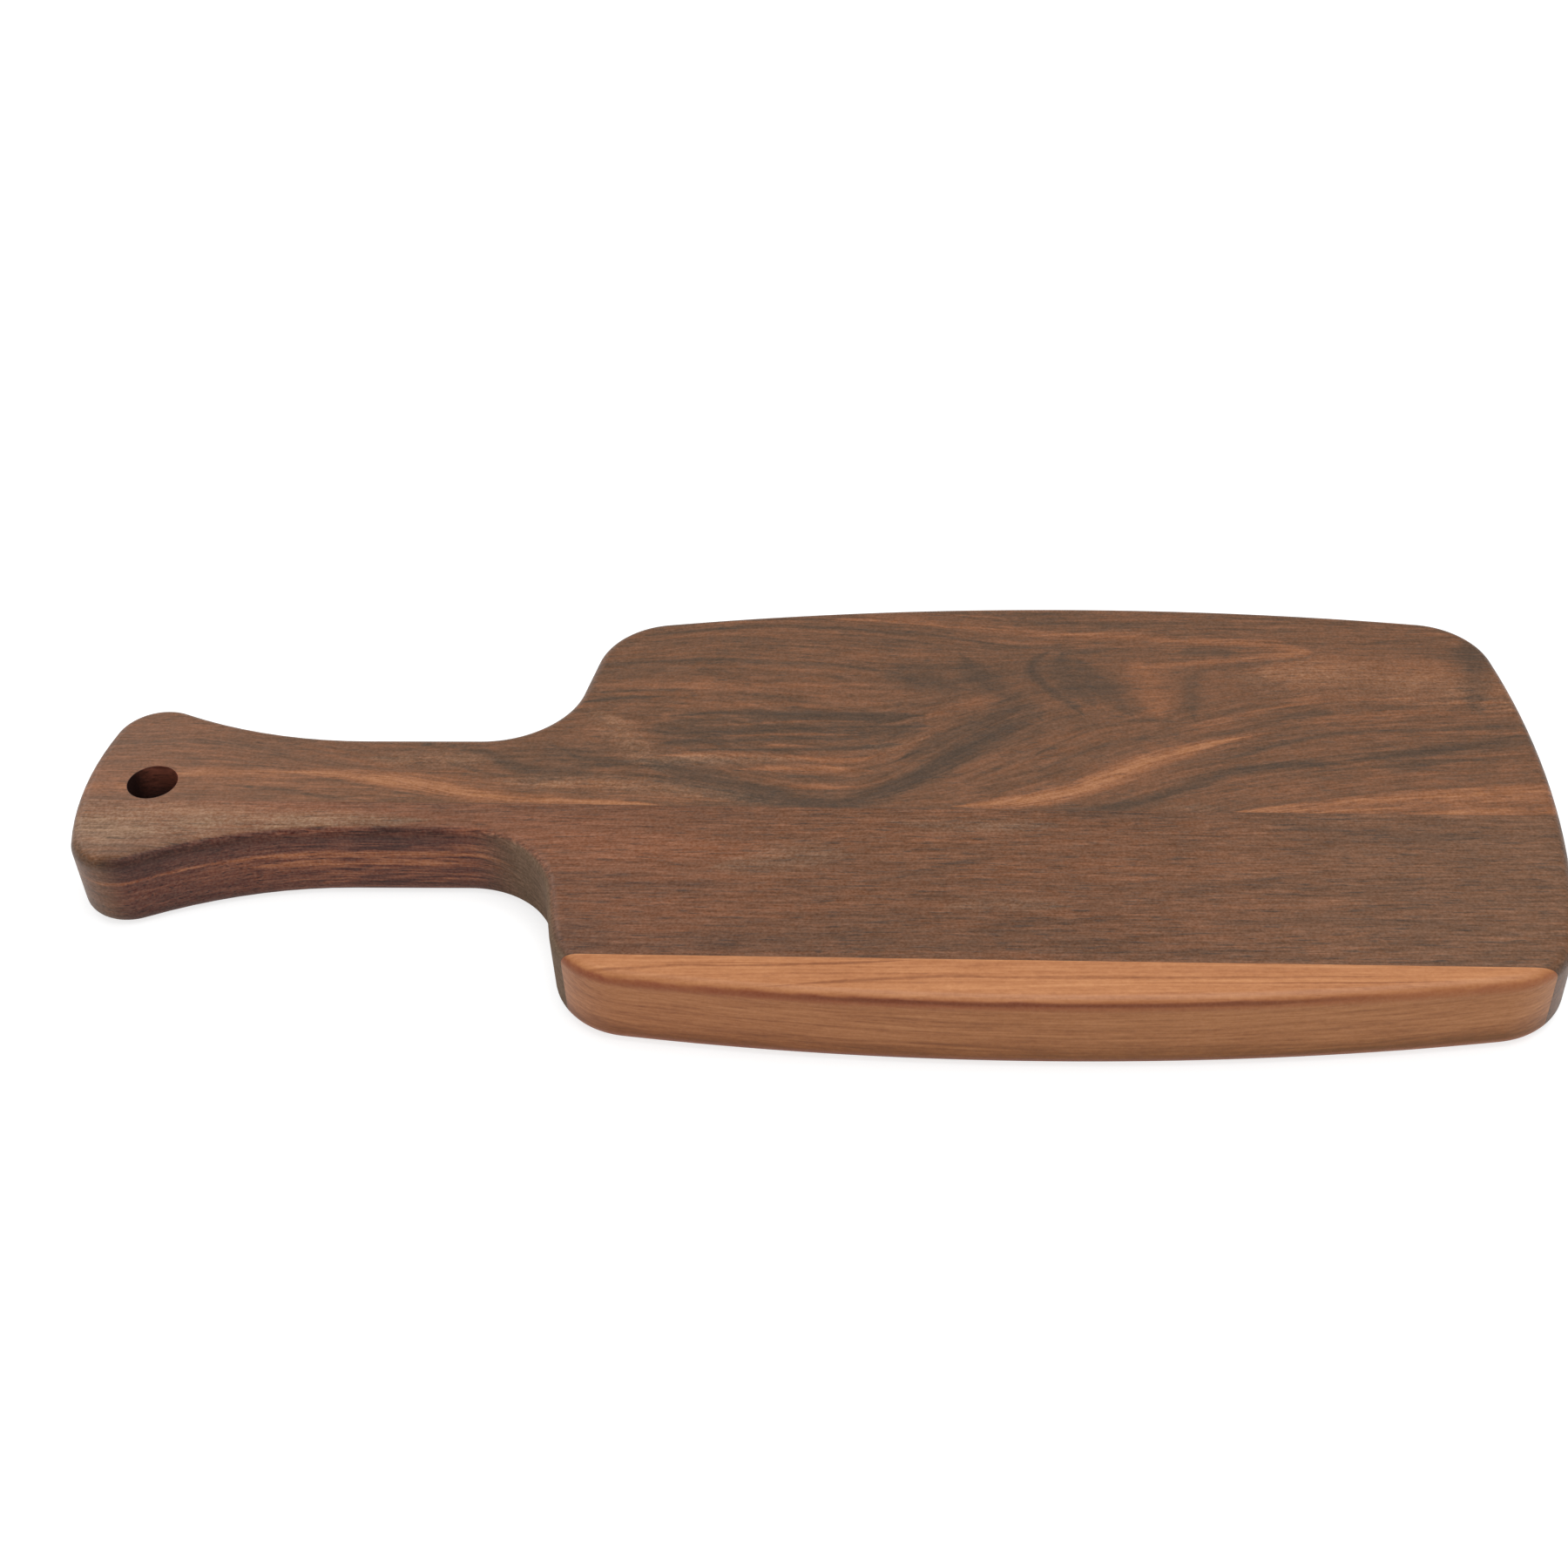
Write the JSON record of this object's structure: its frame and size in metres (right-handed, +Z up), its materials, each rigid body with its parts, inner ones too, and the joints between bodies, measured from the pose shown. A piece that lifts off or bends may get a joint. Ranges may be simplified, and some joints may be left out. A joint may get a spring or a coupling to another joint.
{
  "type": "paddle serving board",
  "caption": "Paddle-shaped walnut serving board, edge-glued from staves, with bulged sides, a flared grip handle, rounded edges and a hanging hole.",
  "frame": {"origin": "middle of the board's box on the surface that the board lies on", "axes": "+X from the handle to the paddle's end, along the board's centre line; +Y towards the wide figured stave; +Z up, square to the serving face"},
  "size_m": [0.373, 0.153, 0.0214],
  "materials": {
    "figured_walnut": "oiled, satin",
    "dark_walnut": "oiled, satin",
    "pale_walnut": "oiled, satin",
    "glue_line": "dried wood glue, sanded flush"
  },
  "bodies": {
    "root": {"wide_stave": "figured_walnut", "middle_stave": "dark_walnut", "edge_stave": "pale_walnut", "wide_joint_glue": "glue_line", "edge_joint_glue": "glue_line"}
  },
  "joints": []
}
